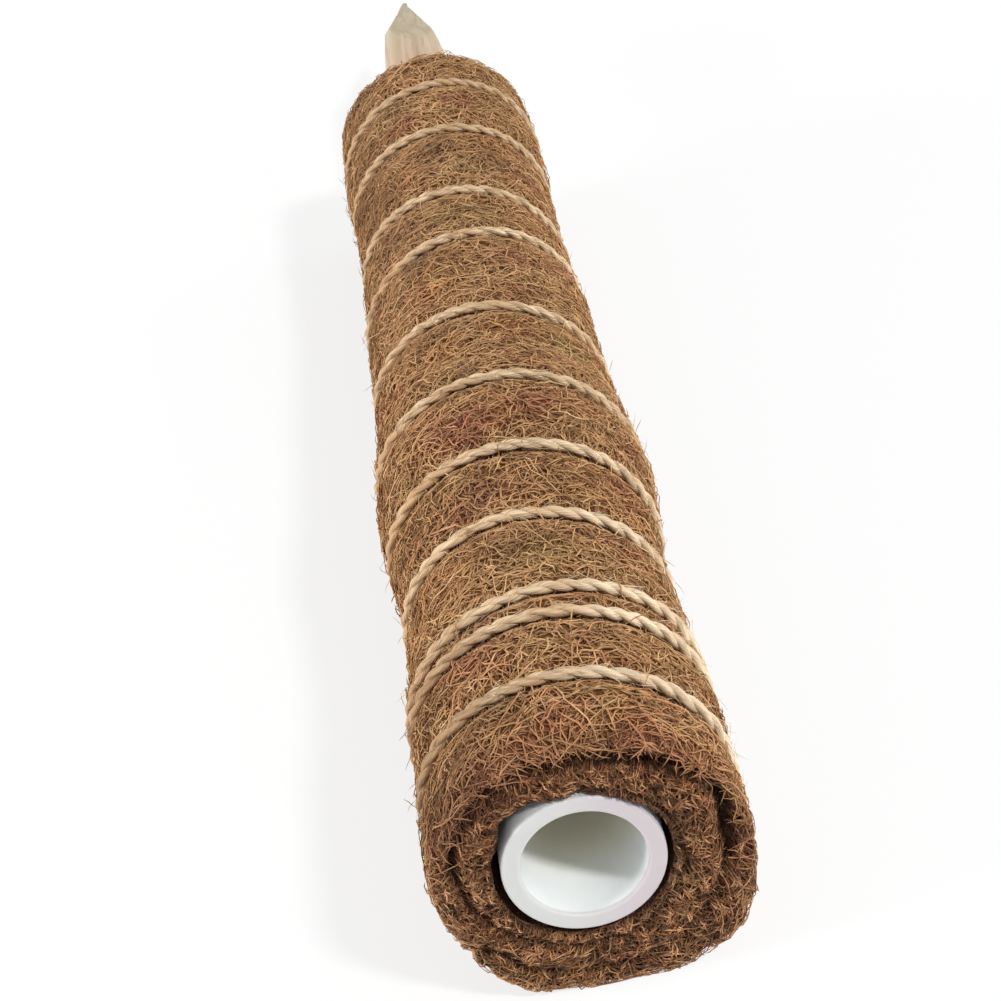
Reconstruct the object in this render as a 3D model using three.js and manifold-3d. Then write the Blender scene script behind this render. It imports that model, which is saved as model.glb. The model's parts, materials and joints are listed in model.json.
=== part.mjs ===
import * as THREE from 'three';
import { mergeVertices } from 'three/addons/utils/BufferGeometryUtils.js';
import Module from 'manifold-3d';

// A moss pole: a mat of coir rolled round a plastic tube and bound with jute twine.
// A whittled wooden stake is pushed into one end of the tube, and the other end is open.
// It lies on a table along Y, open rim at -Y, stake's point at +Y. Its thicker stretches rest
// at Z = 0, pressed flat there.

// Driving dimensions, in millimetres
const poleLength = 450; // from the open rim to the tip of the stake
const matLength = 322;
const matThickness = 4.8; // one layer of the rolled mat
const matLayers = 2.5;
const tubeBore = 21;
const tubeWall = 2.85;
const stakeSeat = 60; // how far the stake goes into the tube
const pointLength = 51; // the main knife cut of the stake's point
const twineDiameter = 2.4;

// Clearances and overruns
const layerGap = 0.5; // between the layers of the roll
const seatGap = 0.3; // between pieces that touch
const stakeClearance = 0.3; // round the stake in the bore
const overrun = 2; // of every cutting shape past what it cuts

// The tube, whose rim stands a little proud of the mat
const tubeSides = 36;
const rimProud = 1;
const tubeEndInset = 0.5;
const rimBevel = 0.4;
const tubeShift = 1.2; // the roll is thicker on the right of the tube than on its left
const boreRadius = tubeBore / 2;
const tubeRadius = boreRadius + tubeWall;
const tubeX = -tubeShift;

// The roll of coir
const matBoreRadius = tubeRadius + seatGap;
const layerPitch = matThickness + layerGap;
const matRadius = matBoreRadius + layerPitch * matLayers;
const axisShare = 1.015; // height of the axis over the table, of the roll's radius
const crownShare = 0.95; // height of the roll over its axis, of its radius
const axisHeight = matRadius * axisShare;
const seamStepsPerTurn = 24;
const innerEdge = 1; // what the mat thins to at its end on the tube
const outerEdge = 3.2; // and at its end outside
const seamEndTurns = 0.66; // the outer end lies low on the left, turned from the top to the right
const endRoundLength = 3;
const endRoundDepth = 1.2;
// Radius of the roll along its length: [share of the mat's length, share of its radius]
const swellShares = [
  [0, 0.995], [0.08, 1.03], [0.125, 1.028], [0.18, 0.982], [0.24, 0.98], [0.3, 1.04],
  [0.345, 1.08], [0.385, 1.065], [0.44, 1.015], [0.52, 0.998], [0.59, 1.007], [0.66, 0.978],
  [0.745, 0.965], [0.81, 0.985], [0.88, 1.025], [0.94, 1.03], [1, 1],
];
const swellLimit = Math.max(...swellShares.map((row) => row[1]));
// The open end sags into two low corners: [turns from the top to the right, share of the radius]
const sagShares = [
  [0, 1], [0.25, 1.01], [0.3, 1.045], [0.335, 1.11], [0.37, 1.145], [0.43, 1.12], [0.5, 1.05],
  [0.54, 1.055], [0.58, 1.11], [0.64, 1.06], [0.7, 1.02], [0.76, 1], [1, 1],
];
const sagReach = 50; // how far along the pole the corners ease out

// The twine, one strand wound from end to end
// Where each turn crosses the top of the roll: [share of the mat's length, lean in diameters]
const turnShares = [
  [0.054, -0.5], [0.111, -0.3], [0.135, 0.5], [0.221, -0.5], [0.294, -0.5], [0.382, -0.6],
  [0.495, -0.8], [0.62, 1], [0.708, -0.9], [0.833, 0.2], [0.931, 1.2],
];
const twineSides = 6;
const pocketSides = 4;
const stepsPerLoop = 24;
const advanceStartShare = 0.16; // a turn moves on to the next one past this part of a loop
const tailSteps = 7; // from the top of the first and last turns to where the ends tuck in
const twineBite = 1; // how deep the twine draws the mat in
const biteReach = 4.5; // how far along the pole the bite eases out
const twineSink = 0.3; // the twine's middle lies this far under the drawn-in mat
const tuckSteps = 3;
const grooveSlack = 1.25; // width of the twine's groove, of the strand with its clearance
const shoulderShares = [0.25, 0.75]; // places on the swell from one turn to the next
const firstStep = -tailSteps;
const lastStep = (turnShares.length - 1) * stepsPerLoop + tailSteps;
const twineRadius = twineDiameter / 2;
const twineClearRadius = twineRadius + seatGap;

// The stake and the knife cuts of its point
const stakeRadius = boreRadius - stakeClearance;
const stakeBevel = 1;
// Each cut: [turns from the top to the right, length over pointLength, radius left at the tip
// over the stake's radius]
const cutShares = [
  [0.25, 1.41, 0.02], [0.02, 1.28, 0.08], [0.13, 1, 0.07], [0.87, 0.89, 0.02],
  [0.75, 1.47, 0.53], [0.5, 0.82, 0.1], [0.38, 0.74, 0.14], [0.62, 0.66, 0.18],
];

// Places along Y
const rimY = -poleLength / 2;
const tipY = poleLength / 2;
const matStartY = rimY + rimProud;
const matEndY = matStartY + matLength;
const tubeEndY = matEndY - tubeEndInset;
const stakeStartY = tubeEndY - stakeSeat;

const wasm = await Module();
wasm.setup();

function toSolid(geometry) {
  const bare = geometry.clone();
  bare.deleteAttribute('normal');
  bare.deleteAttribute('uv');
  const merged = mergeVertices(bare);
  return new wasm.Manifold(new wasm.Mesh({
    numProp: 3,
    vertProperties: new Float32Array(merged.attributes.position.array),
    triVerts: new Uint32Array(merged.index.array),
  }));
}

function toGeometry(solid) {
  const mesh = solid.getMesh();
  const geometry = new THREE.BufferGeometry();
  geometry.setAttribute('position', new THREE.BufferAttribute(mesh.vertProperties, 3));
  geometry.setIndex(new THREE.BufferAttribute(mesh.triVerts, 1));
  geometry.computeVertexNormals();
  return geometry;
}

// A closed skin over sections that turn the same way round and have equal numbers of points
function loft(sections) {
  const count = sections[0].length;
  const last = (sections.length - 1) * count;
  const positions = sections.flat().flatMap((point) => point.toArray());
  const index = [];
  for (let row = 0; row < last; row += count) {
    for (let side = 0; side < count; side += 1) {
      const next = (side + 1) % count;
      index.push(row + side, row + next, row + count + next);
      index.push(row + side, row + count + next, row + count + side);
    }
  }
  for (let side = 1; side < count - 1; side += 1) {
    index.push(0, side + 1, side);
    index.push(last, last + side, last + side + 1);
  }
  const geometry = new THREE.BufferGeometry();
  geometry.setAttribute('position', new THREE.Float32BufferAttribute(positions, 3));
  geometry.setIndex(index);
  geometry.computeVertexNormals();
  return geometry;
}

// Drops the triangles that have shrunk to a line or a point
function withoutSlivers(geometry) {
  const corners = geometry.index.array;
  const kept = [];
  for (let corner = 0; corner < corners.length; corner += 3) {
    const face = [corners[corner], corners[corner + 1], corners[corner + 2]];
    if (new Set(face).size === 3) kept.push(...face);
  }
  geometry.setIndex(kept);
  return geometry;
}

function smooth(value) {
  const held = Math.min(Math.max(value, 0), 1);
  return held * held * (3 - 2 * held);
}

// Eased value from a table of [place, value] rows
function fromTable(rows, place) {
  const next = rows.findIndex((row) => row[0] >= place);
  if (next === 0) return rows[0][1];
  if (next < 0) return rows[rows.length - 1][1];
  const [start, end] = [rows[next - 1], rows[next]];
  const blend = smooth((place - start[0]) / (end[0] - start[0]));
  return start[1] + (end[1] - start[1]) * blend;
}

// Unit vector across the pole, its angle taken from the top towards +X
function outward(angle) {
  return new THREE.Vector3(Math.sin(angle), 0, Math.cos(angle));
}

// Angle of a step of the winding, the same in every turn of it
function angleOf(step) {
  return (-THREE.MathUtils.euclideanModulo(step, stepsPerLoop) / stepsPerLoop) * 2 * Math.PI;
}

// Place of the winding along Y, its steps counted from the top of the first turn
function windingY(step) {
  const turn = step / stepsPerLoop;
  const first = Math.min(Math.max(Math.floor(turn), 0), turnShares.length - 2);
  const [start, end] = [turnShares[first], turnShares[first + 1]];
  const span = 1 - 2 * advanceStartShare;
  const blend = smooth((turn - first - advanceStartShare) / span);
  const middle = start[0] + (end[0] - start[0]) * blend;
  const lean = start[1] + (end[1] - start[1]) * blend;
  return matStartY + middle * matLength + lean * Math.sin(angleOf(step)) * twineDiameter;
}

// How deep the twine has drawn the mat in at a place on the roll
function biteAt(y, step) {
  const pastTop = THREE.MathUtils.euclideanModulo(step, stepsPerLoop);
  let nearest = Infinity;
  for (let at = pastTop - stepsPerLoop; at <= lastStep; at += stepsPerLoop) {
    if (at >= firstStep) nearest = Math.min(nearest, Math.abs(windingY(at) - y));
  }
  return twineBite * Math.exp(-((nearest / biteReach) ** 2));
}

function rollRadius(y, step) {
  const share = (y - matStartY) / matLength;
  const fromEnd = Math.min(y - matStartY, matEndY - y);
  const rounding = endRoundDepth * (1 - smooth(fromEnd / endRoundLength));
  const angle = angleOf(step);
  const crown = 1 - (1 - crownShare) * Math.max(Math.cos(angle), 0) ** 2;
  const sagged = 1 - smooth((y - matStartY) / sagReach);
  const sag = 1 + (fromTable(sagShares, 1 + angle / (2 * Math.PI)) - 1) * sagged;
  return matRadius * fromTable(swellShares, share) * crown * sag - biteAt(y, step) - rounding;
}

// The line that the twine's groove follows, led on to the ends of the mat past the twine
function grooveY(step) {
  const lead = stepsPerLoop - tailSteps;
  if (step < firstStep) {
    const startY = matStartY + endRoundLength;
    const led = smooth((step + stepsPerLoop) / lead);
    return THREE.MathUtils.lerp(startY, windingY(firstStep), led);
  }
  if (step > lastStep) {
    const endY = matEndY - endRoundLength;
    const led = smooth((turnShares.length * stepsPerLoop - step) / lead);
    return THREE.MathUtils.lerp(endY, windingY(lastStep), led);
  }
  return windingY(step);
}

// A point of the roll's skin, pressed flat where it lies on the table
function skinPoint(step, y, radius) {
  const point = outward(angleOf(step)).multiplyScalar(radius);
  point.y = y;
  point.z = Math.max(point.z + axisHeight, 0);
  return point;
}

// The skin across the roll from the groove at one turn to the groove at the next
function skinRow(step) {
  const onSkin = (y) => skinPoint(step, y, rollRadius(y, step));
  const sideOf = (at, sign) => {
    const held = at >= firstStep && at <= lastStep;
    const y = grooveY(at) + (held ? sign * grooveSlack * twineClearRadius : 0);
    const floor = held ? skinPoint(at, y, windingRadius(at, twineClearRadius)) : onSkin(y);
    return { y, floor };
  };
  const near = sideOf(step, 1);
  const far = sideOf(step + stepsPerLoop, -1);
  const swell = shoulderShares.map((share) => onSkin(near.y + (far.y - near.y) * share));
  return [near.floor, onSkin(near.y), ...swell, onSkin(far.y), far.floor];
}

// The outer form of the roll: a skin wound with the twine, closed by an end face at each end
function rollForm() {
  const rows = [];
  const loops = turnShares.length;
  for (let step = -2 * stepsPerLoop; step <= loops * stepsPerLoop; step += 1) {
    rows.push([...skinRow(step), skinRow(step + stepsPerLoop)[0]]);
  }
  const triangles = [];
  const addBand = (one, other) => {
    for (let place = 0; place < one.length - 1; place += 1) {
      triangles.push(one[place], one[place + 1], other[place + 1]);
      triangles.push(one[place], other[place + 1], other[place]);
    }
  };
  rows.slice(1).forEach((row, index) => addBand(rows[index], row));
  const ends = [[matStartY, -2 * stepsPerLoop], [matEndY, loops * stepsPerLoop]];
  for (const [endY, ringStep] of ends) {
    const isStart = endY === matStartY;
    const ring = [];
    for (let step = ringStep; step <= ringStep + stepsPerLoop; step += 1) {
      const rim = skinPoint(step, endY, rollRadius(endY, step));
      const shoulder = skinRow(step)[0];
      ring.push(isStart ? [rim, shoulder] : [shoulder, rim]);
    }
    ring.slice(1).forEach((pair, index) => addBand(ring[index], pair));
    const rims = ring.map((pair) => pair[isStart ? 0 : 1]);
    for (let side = 1; side < stepsPerLoop - 1; side += 1) {
      const fan = [rims[0], rims[side], rims[side + 1]];
      triangles.push(...(isStart ? fan : fan.reverse()));
    }
  }
  const positions = triangles.flatMap((point) => point.toArray());
  const geometry = new THREE.BufferGeometry();
  geometry.setAttribute('position', new THREE.Float32BufferAttribute(positions, 3));
  return withoutSlivers(mergeVertices(geometry));
}

// Closed outline of a strip of even width along a line of points
function stripShape(line, width) {
  const edge = (offset) => line.map((point, index) => {
    const before = line[Math.max(index - 1, 0)];
    const after = line[Math.min(index + 1, line.length - 1)];
    const arriving = point.clone().sub(before).normalize();
    const leaving = after.clone().sub(point).normalize();
    const along = arriving.clone().add(leaving).normalize();
    const mitre = offset / Math.max(along.dot(arriving), along.dot(leaving));
    return new THREE.Vector2(point.x - along.y * mitre, point.y + along.x * mitre);
  });
  return new THREE.Shape([...edge(-width / 2), ...edge(width / 2).reverse()]);
}

// The spiral seam between the layers of the mat, as the thin gap that parts them
function seamForm() {
  const startRadius = matBoreRadius + innerEdge;
  const endRadius = matRadius - outerEdge;
  const seamTurns = (endRadius - startRadius) / layerPitch;
  const steps = Math.round(seamTurns * seamStepsPerTurn);
  const place = (turns, radius) => {
    const point = outward(turns * 2 * Math.PI).multiplyScalar(radius);
    return new THREE.Vector2(point.x + tubeX, point.z + axisHeight);
  };
  const line = [place(seamEndTurns - seamTurns, matBoreRadius - overrun)];
  for (let step = 0; step <= steps; step += 1) {
    const share = step / steps;
    const radius = startRadius + (endRadius - startRadius) * share;
    line.push(place(seamEndTurns - seamTurns * (1 - share), radius));
  }
  line.push(place(seamEndTurns, matRadius * swellLimit + tubeShift + overrun));
  const depth = matLength + 2 * overrun;
  const geometry = new THREE.ExtrudeGeometry(stripShape(line, layerGap), {
    depth, bevelEnabled: false, steps: 1,
  });
  geometry.rotateX(Math.PI / 2);
  return geometry.translate(0, matEndY + overrun, 0);
}

// Distance of the twine's middle from the roll's axis, less a depth below it
function windingRadius(step, depth) {
  const round = rollRadius(windingY(step), step) - twineSink - depth;
  const floor = axisHeight - twineClearRadius - depth;
  const down = -Math.cos(angleOf(step));
  return down * round > floor ? floor / down : round;
}

function windingPoint(step) {
  const normal = outward(angleOf(step));
  const point = normal.clone().multiplyScalar(windingRadius(step, 0));
  point.y = windingY(step);
  point.z += axisHeight;
  return { point, normal };
}

// From an end of the winding the twine bends into the mat and runs on square to it
function tuckPoints(end, tangent, reach) {
  const bend = twineDiameter;
  const centre = end.point.clone().addScaledVector(end.normal, -bend);
  const points = [];
  for (let step = 1; step <= tuckSteps; step += 1) {
    const angle = (step / tuckSteps) * (Math.PI / 2);
    const normal = end.normal.clone().multiplyScalar(Math.cos(angle));
    normal.addScaledVector(tangent, Math.sin(angle));
    points.push({ point: centre.clone().addScaledVector(normal, bend), normal });
  }
  const last = points[points.length - 1];
  const point = last.point.clone().addScaledVector(end.normal, -reach);
  points.push({ point, normal: last.normal });
  return points;
}

// The strand's whole path: an end tucked into the mat, the winding and the other end
function twinePath(reach) {
  const winding = [];
  for (let step = firstStep; step <= lastStep; step += 1) {
    winding.push(windingPoint(step));
  }
  const [start, second] = winding;
  const [beforeEnd, end] = winding.slice(-2);
  const back = start.point.clone().sub(second.point).projectOnPlane(start.normal);
  const ahead = end.point.clone().sub(beforeEnd.point).projectOnPlane(end.normal);
  const head = [start, ...tuckPoints(start, back.normalize(), reach)].reverse();
  const tail = [end, ...tuckPoints(end, ahead.normalize(), reach)];
  return { head, winding: winding.slice(1, -1), tail };
}

// A strand of a regular section along a path, its first corner turned from the outward side
function strandForm(path, radius, sides, firstCorner) {
  return loft(path.map(({ point, normal }, index) => {
    const before = path[Math.max(index - 1, 0)].point;
    const after = path[Math.min(index + 1, path.length - 1)].point;
    const tangent = after.clone().sub(before).normalize();
    const up = normal.clone().projectOnPlane(tangent).normalize();
    const side = new THREE.Vector3().crossVectors(tangent, up);
    const section = [];
    for (let corner = 0; corner < sides; corner += 1) {
      const angle = ((corner + firstCorner) / sides) * 2 * Math.PI;
      const place = point.clone().addScaledVector(up, radius * Math.cos(angle));
      section.push(place.addScaledVector(side, radius * Math.sin(angle)));
    }
    return section;
  }));
}

// Least gap between any two stretches of the twine that lie half a loop or more apart
function twineGap() {
  const path = wholePath.map((row) => row.point);
  let least = Infinity;
  for (let one = 0; one < path.length; one += 1) {
    for (let other = one + stepsPerLoop / 2; other < path.length; other += 1) {
      least = Math.min(least, path[one].distanceTo(path[other]) - twineDiameter);
    }
  }
  return least;
}

function makeMat() {
  const bore = new THREE.CylinderGeometry(
    matBoreRadius, matBoreRadius, matLength + 2 * overrun, tubeSides,
  );
  bore.translate(tubeX, (matStartY + matEndY) / 2, axisHeight);
  let roll = toSolid(rollForm()).subtract(toSolid(bore)).subtract(toSolid(seamForm()));
  const { head, tail } = twinePath(twineDiameter + seatGap);
  const pocketRadius = twineClearRadius / Math.cos(Math.PI / pocketSides);
  for (const path of [head, tail]) {
    roll = roll.subtract(toSolid(strandForm(path, pocketRadius, pocketSides, 0.5)));
  }
  return toGeometry(roll);
}

function makeTube() {
  const profile = [
    [boreRadius, rimY + rimBevel], [boreRadius + rimBevel, rimY], [tubeRadius - rimBevel, rimY],
    [tubeRadius, rimY + rimBevel], [tubeRadius, tubeEndY], [boreRadius, tubeEndY],
    [boreRadius, rimY + rimBevel],
  ].map(([radius, y]) => new THREE.Vector2(radius, y));
  return new THREE.LatheGeometry(profile, tubeSides).translate(tubeX, 0, axisHeight);
}

// A block whose inner face is the plane of one knife cut on the stake's point
function knifeCut(turnShare, lengthShare, tipShare) {
  const side = outward(turnShare * 2 * Math.PI);
  const length = pointLength * lengthShare;
  const drop = stakeRadius * (1 - tipShare);
  const along = new THREE.Vector3(0, length, 0).addScaledVector(side, -drop).normalize();
  const across = new THREE.Vector3(0, 1, 0).cross(side).normalize();
  const normal = new THREE.Vector3().crossVectors(across, along);
  const block = new THREE.BoxGeometry(
    3 * stakeRadius, 2 * (length + overrun), stakeRadius + overrun,
  );
  const place = new THREE.Matrix4().makeBasis(across, along, normal);
  const middle = side.multiplyScalar(stakeRadius * tipShare);
  middle.addScaledVector(normal, (stakeRadius + overrun) / 2);
  place.setPosition(middle.add(new THREE.Vector3(tubeX, tipY, axisHeight)));
  return toSolid(block.applyMatrix4(place));
}

function makeStake() {
  const profile = [
    [0, stakeStartY], [stakeRadius - stakeBevel, stakeStartY],
    [stakeRadius, stakeStartY + stakeBevel], [stakeRadius, tipY], [0, tipY],
  ].map(([radius, y]) => new THREE.Vector2(radius, y));
  const dowel = new THREE.LatheGeometry(profile, tubeSides).translate(tubeX, 0, axisHeight);
  let stake = toSolid(dowel);
  for (const cut of cutShares) {
    stake = stake.subtract(knifeCut(...cut));
  }
  return toGeometry(stake);
}

function addPiece(group, name, geometry, color, roughness) {
  const material = new THREE.MeshStandardMaterial({ color, roughness, metalness: 0 });
  const mesh = new THREE.Mesh(geometry, material);
  mesh.name = name;
  group.add(mesh);
}

const { head, winding, tail } = twinePath(twineDiameter);
const wholePath = [...head, ...winding, ...tail];
console.log(`least gap of the twine to itself: ${twineGap().toFixed(2)} mm`);

const pole = new THREE.Group();
addPiece(pole, 'core_tube', makeTube(), 0xf0eff2, 0.35);
addPiece(pole, 'coir_mat', makeMat(), 0x96724c, 1);
addPiece(pole, 'jute_twine', strandForm(wholePath, twineRadius, twineSides, 0), 0xcdb282, 0.95);
addPiece(pole, 'wooden_stake', makeStake(), 0xcdb79d, 0.8);

export default pole;
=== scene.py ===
import json
import math

import bpy
import numpy as np
from mathutils import Matrix, Vector, noise

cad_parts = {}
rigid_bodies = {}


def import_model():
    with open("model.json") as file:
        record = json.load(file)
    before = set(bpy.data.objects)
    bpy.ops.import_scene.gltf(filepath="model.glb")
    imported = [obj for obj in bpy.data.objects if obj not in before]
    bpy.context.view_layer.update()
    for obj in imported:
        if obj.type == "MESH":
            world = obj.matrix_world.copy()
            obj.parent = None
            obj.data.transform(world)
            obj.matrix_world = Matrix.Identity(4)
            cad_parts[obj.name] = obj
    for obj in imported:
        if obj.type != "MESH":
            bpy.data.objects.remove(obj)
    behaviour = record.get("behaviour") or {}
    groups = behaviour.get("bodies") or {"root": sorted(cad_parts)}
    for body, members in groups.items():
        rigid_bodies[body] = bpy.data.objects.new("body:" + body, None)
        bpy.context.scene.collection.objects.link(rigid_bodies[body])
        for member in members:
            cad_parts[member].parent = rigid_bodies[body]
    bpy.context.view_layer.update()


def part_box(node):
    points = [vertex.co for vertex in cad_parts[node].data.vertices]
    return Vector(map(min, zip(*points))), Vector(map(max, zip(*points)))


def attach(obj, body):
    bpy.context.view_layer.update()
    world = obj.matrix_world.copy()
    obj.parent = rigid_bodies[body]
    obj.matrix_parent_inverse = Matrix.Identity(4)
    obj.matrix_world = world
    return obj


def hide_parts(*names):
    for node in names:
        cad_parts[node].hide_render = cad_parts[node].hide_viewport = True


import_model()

# Lengths are in metres, and the sizes of the pole's own pieces come from the frame
MM = 0.001
TURN = 2 * math.pi

tube_low, tube_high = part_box("core_tube")
mat_low, mat_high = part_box("coir_mat")
stake_low, stake_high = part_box("wooden_stake")
AXIS_X = (tube_low.x + tube_high.x) / 2
AXIS_Z = (tube_low.z + tube_high.z) / 2
PIPE_RADIUS = (tube_high.x - tube_low.x) / 2
TUBE_RADIUS = PIPE_RADIUS + 0.3 * MM  # the pipe in the photo is a little over its nominal size
BORE_RADIUS = PIPE_RADIUS - 2.85 * MM
MAT_START = mat_low.y
MAT_END = mat_high.y
MAT_LENGTH = MAT_END - MAT_START
STAKE_RADIUS = (stake_high.x - stake_low.x) / 2

# The roll of coir, the twine on it and the point of the stake, as the solids have them
MAT_RADIUS = 26.9 * MM
CROWN_SHARE = 0.95
LAYER_PITCH = 5.3 * MM
SEAM_END_TURNS = 0.66
SEAM_END_RADIUS = MAT_RADIUS - 3.2 * MM
SWELL_SHARES = (
    (0, 0.995), (0.08, 1.03), (0.125, 1.028), (0.18, 0.982), (0.24, 0.98), (0.3, 1.04),
    (0.345, 1.08), (0.385, 1.065), (0.44, 1.015), (0.52, 0.998), (0.59, 1.007), (0.66, 0.978),
    (0.745, 0.965), (0.81, 0.985), (0.88, 1.025), (0.94, 1.03), (1, 1),
)
SAG_SHARES = (
    (0, 1), (0.25, 1.01), (0.3, 1.045), (0.335, 1.11), (0.37, 1.145), (0.43, 1.12), (0.5, 1.05),
    (0.54, 1.055), (0.58, 1.11), (0.64, 1.06), (0.7, 1.02), (0.76, 1), (1, 1),
)
SAG_REACH = 50 * MM
TURN_SHARES = (
    (0.054, -0.5), (0.111, -0.3), (0.135, 0.5), (0.221, -0.5), (0.294, -0.5), (0.382, -0.6),
    (0.495, -0.8), (0.62, 1), (0.708, -0.9), (0.833, 0.2), (0.931, 1.2),
)
TWINE_DIAMETER = 2.4 * MM
SEAT_GAP = 0.3 * MM  # between pieces that touch, and under the roll
TWINE_CLEAR_RADIUS = TWINE_DIAMETER / 2 + SEAT_GAP
TWINE_BITE = 1 * MM
BITE_REACH = 4.5 * MM
TWINE_SINK = 0.3 * MM
ADVANCE_START_SHARE = 0.16
LOOP_STEPS = 24
TAIL_TURNS = 7 / LOOP_STEPS
FIRST_TURN = -TAIL_TURNS
LAST_TURN = len(TURN_SHARES) - 1 + TAIL_TURNS
POINT_LENGTH = 51 * MM
CUT_SHARES = (
    (0.25, 1.41, 0.02), (0.02, 1.28, 0.08), (0.13, 1, 0.07), (0.87, 0.89, 0.02),
    (0.75, 1.47, 0.53), (0.5, 0.82, 0.1), (0.38, 0.74, 0.14), (0.62, 0.66, 0.18),
)

# Camera, as the photograph was taken
LENS = 80.4
SENSOR_WIDTH = 36
CAMERA_PLACE = Vector((0.0, -0.5046, 0.2629))
CAMERA_RIGHT = Vector((0.97770492, -0.10189417, -0.18360463))
CAMERA_UP = Vector((0.20989808, 0.49917935, 0.84069184))

# The felted skin under the fibres
FELT_DEPTH = 1.5 * MM  # of the skin below the outside of the fibres
END_REACH = 16 * MM  # how far in from the ends the skin is fuller
FAR_FULLNESS = 0.9 * MM
GROOVE_DEPTH = 0.7 * MM  # under the twine
GROOVE_WIDTH = 1.5 * MM
EDGE_DEPTH = 1.6 * MM  # along the outer end of the mat
EDGE_WIDTH = 0.9 * MM
SKIN_SIDES = 200
SKIN_ROWS = 300
FACE_RINGS = 34
SEAM_DEPTH = 4.6 * MM
SEAM_WIDTH = 1.15 * MM
SIDE_ANGLES = np.arange(SKIN_SIDES) / SKIN_SIDES * TURN
# Tables by turns from the top, with lengths in millimetres
# How far the seam strays from an even spiral, and how open it is
SEAM_STRAY = (
    (-1.05, 0), (-0.4, 0), (-0.19, 2.5), (-0.1, 0.9), (0, -0.8), (0.06, -1),
    (0.1, 0.1), (0.2, 3.2), (0.26, 2.1), (0.4, 1.2), (0.66, 0),
)
SEAM_OPEN = (
    (-1.05, 0.15), (-0.3, 0.15), (-0.2, 0.65), (-0.12, 0.8), (0.04, 0.8), (0.09, 1.1), (0.24, 1),
    (0.34, 0.2), (0.66, 0.25),
)
# The gap between the tube and the open end of the mat, wide where its inner edge begins
GAP_WIDTHS = (
    (0, 0.5), (0.08, 0.5), (0.2, 1.2), (0.42, 1.2), (0.55, 1.5), (0.68, 1.8), (0.77, 1.6),
    (0.83, 1.1), (0.87, 2.5), (0.92, 2.1), (0.96, 0.6), (1, 0.5),
)
FAR_GAP = 0.7
# How far the mat comes forward beside the tube at the open end
FACE_FORWARD = ((0, 1), (0.1, 1.3), (0.2, 1.1), (0.3, 0.2), (0.8, 0), (0.93, 0.3), (1, 1))
# How much fuller the felt is at the open end
FULLNESS = (
    (0, 0), (0.2, 0.6), (0.3, 1), (0.37, 0.8), (0.44, 0.4), (0.55, 0.8), (0.85, 0.9), (1, 0),
)
# Sizes again, in metres
GAP_DEPTHS = (0.5 * MM, 1.2 * MM, 2.4 * MM, 4.4 * MM, 8 * MM)
BORE_CLEARANCE = 0.25 * MM

TUBE_SIDES = 128
TUBE_ROUNDING = 0.7 * MM
STAKE_SIDES = 128
SHANK_ROWS = 30
POINT_ROWS = 190
TIP_BLUNTNESS = 0.7 * MM
TIP_FLATNESS = 0.5 * MM
TIP_SHIFT = (-0.6 * MM, -0.5 * MM)  # of the tip from the stake's middle line
RIDGE_WEAR = 0.12 * MM

# Fibres
SHORT_LAYERS = 6
END_COUNTS = (("coir_end_fibres_near", 6700), ("coir_end_fibres_far", 4500))
LEAST_HEIGHT = 0.2 * MM  # of a fibre over the table
ABOVE_TABLE = (-1, -1, LEAST_HEIGHT)
# Rays that find the felt come from this far outside the roll, or beyond one of its ends
ROUND_RAY = 60 * MM
END_RAY = 30 * MM
END_RAY_START = 10 * MM

# Places where the coir has another colour, and places painted darker: (turns from the top,
# millimetres along, size in mm)
RED_PLACES = (
    (0, -219, 8), (0.09, -221, 8), (0.955, -119, 11), (0.045, -114, 8), (0.975, -142, 9),
    (0.925, -146, 9), (0.15, -138, 8), (0.13, -161, 8), (0.92, -192, 10), (0.07, -39, 9),
    (0.145, 20, 8), (0.95, 54, 8), (0.057, 60, 8), (0.9, -222, 8), (0.48, -190, 14),
    (0.62, -90, 12), (0.4, 30, 12),
)
OLIVE_PLACES = (
    (0.015, -168, 10), (0.12, -82, 9), (0.044, 19, 12), (0.027, -14, 12), (0.045, -213, 5),
    (0.87, -128, 9), (0.6, -150, 14), (0.35, -60, 14), (0.5, 60, 14),
)
ORANGE_PLACES = (
    (0.01, -116, 6), (0.95, -82, 9), (0.03, -77, 7), (0.95, -48, 10), (0.91, 18, 10),
    (0.93, -162, 9), (0.07, -224, 6), (0.4, -130, 14), (0.65, 0, 14),
)
# Painted shade on the coir: most of these places lie over parts of the roll in shade, and a few
# over darker coir
SHADE_AND_DARK_COIR_PLACES = (
    (0.97, -162, 9), (0.935, -184, 10), (0.93, -210, 9), (0.885, -217, 11), (0.845, -222, 11),
    (0.87, 46, 15), (0.88, 18, 14), (0.9, -10, 12), (0.86, 98, 15), (0.85, 73, 15),
    (0.955, 100, 9), (0.93, -30, 9), (0.82, 30, 12), (0.93, 70, 8), (0.99, 32, 11), (0.08, 22, 9),
    (0.8, -213, 12), (0.955, -72, 9), (0.944, -100, 9), (0.965, -141, 8), (0.005, -131, 6),
    (0.86, -196, 7), (0.25, -130, 8), (0.22, 40, 9), (0.4, -190, 12), (0.55, -40, 14),
    (0.7, 20, 12),
)

# Light
WORLD_LIGHT = 0.45
FLOOR_GLOW = 0.75
FLOOR_REACH = 4
OPEN_END = Vector((AXIS_X, tube_low.y, AXIS_Z))
KEY_WAY = Vector((0.482, -0.505, 0.715))  # from the open end of the tube
KEY_AWAY = 3.0
# Lamps: name, place, what they shine at, size and power
LAMPS = (
    ("key", OPEN_END + KEY_WAY * KEY_AWAY, OPEN_END, 0.4, 63),
    ("fill", Vector((-2, -0.3, 0.45)), Vector((0, -0.05, 0.03)), 0.8, 42),
    ("side", Vector((2, 0, 0.7)), Vector((0, 0, 0.03)), 1.4, 20),
)


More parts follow.
